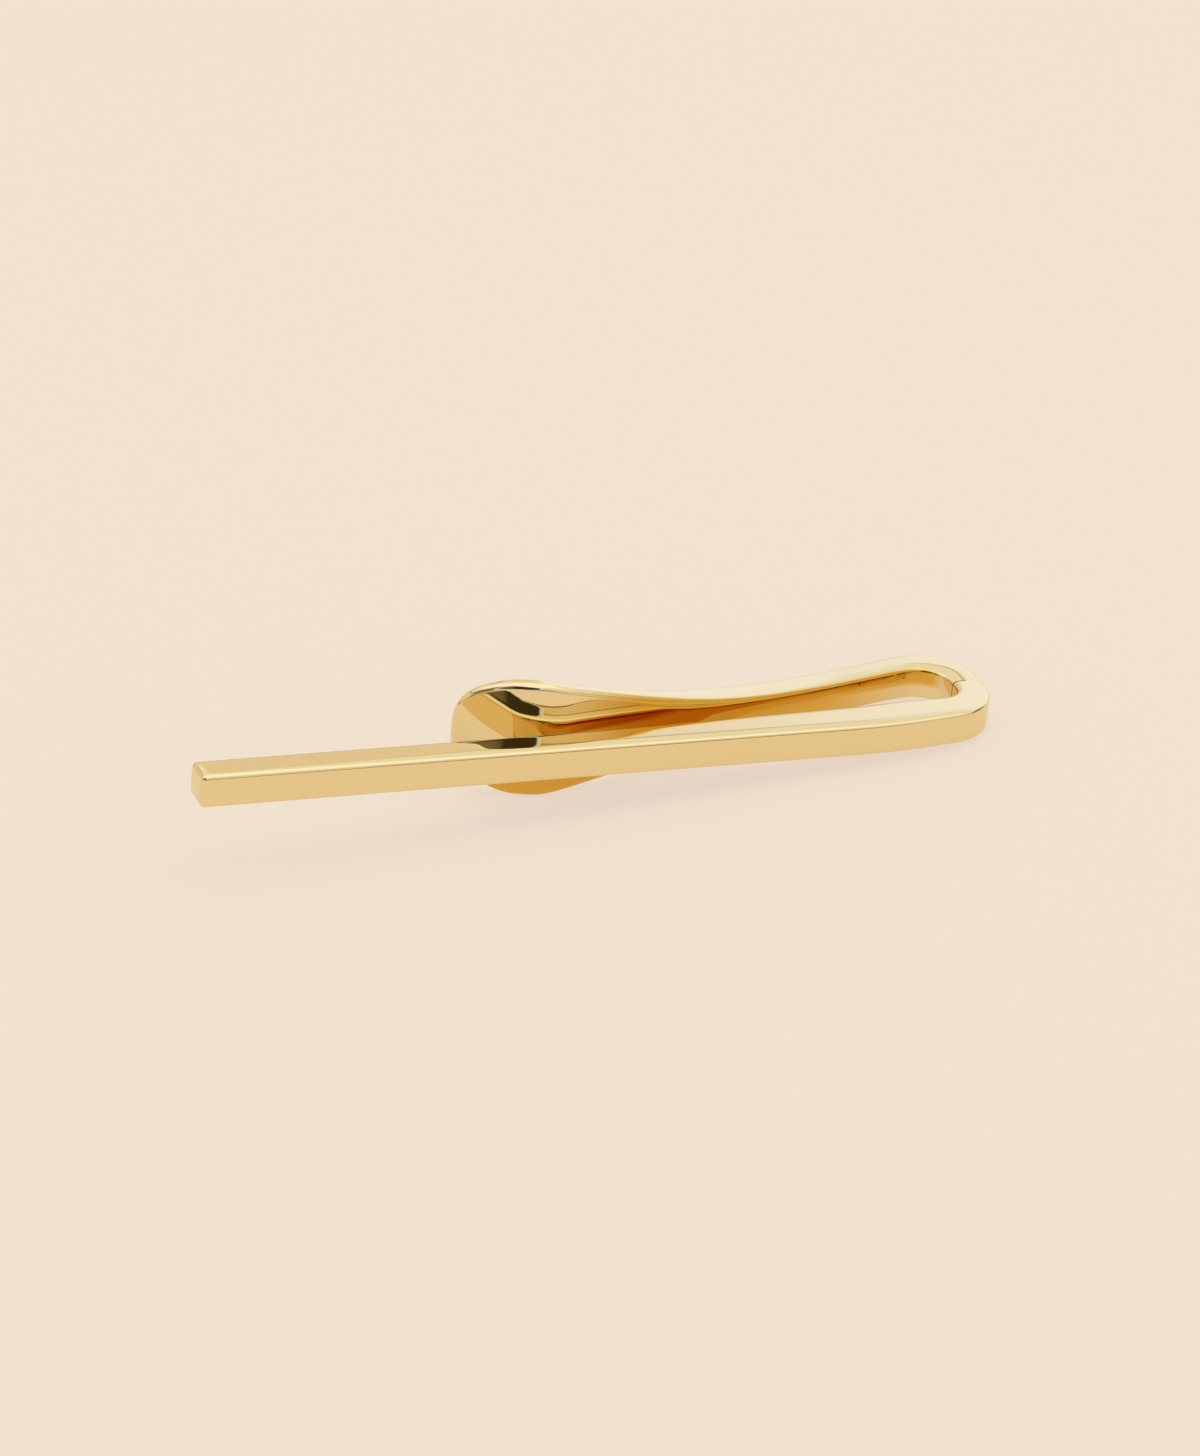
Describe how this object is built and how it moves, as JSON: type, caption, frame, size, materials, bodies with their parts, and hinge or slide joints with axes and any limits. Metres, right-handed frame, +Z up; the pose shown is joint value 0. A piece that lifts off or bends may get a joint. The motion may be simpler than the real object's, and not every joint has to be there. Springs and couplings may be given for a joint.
{
  "type": "tie clip",
  "caption": "Polished gold-coloured tie slide: a slim square bar bent into a bow, with a sprung arm that runs back behind it and ends in a wide rounded paddle that grips the tie.",
  "frame": {"origin": "on the surface the clip rests on, under the middle of its bounding box", "axes": "+X along the clip from the bar's free tip towards the bow, +Y from the bar's front face towards the arm behind it, +Z up; the clip rests on the bow and the paddle with its free tip in the air"},
  "size_m": [0.055, 0.0102, 0.008],
  "materials": {
    "bar_gold": "mirror-polished gold plating on brass",
    "arm_gold": "mirror-polished gold plating on brass",
    "solder_gold": "hard solder, polished flush and plated"
  },
  "bodies": {
    "bar": {"front_bar": "bar_gold", "solder_seam": "solder_gold"},
    "arm": {"spring_arm": "arm_gold"}
  },
  "joints": [
    {"name": "spring_opening", "type": "hinge", "parent": "bar", "child": "arm", "pos_m": [0.02739, 0.00034, 0.0011], "axis": [-0.0909, 0, -0.9959], "range_deg": [0, 4], "stiffness_Nm_per_rad": 10}
  ]
}
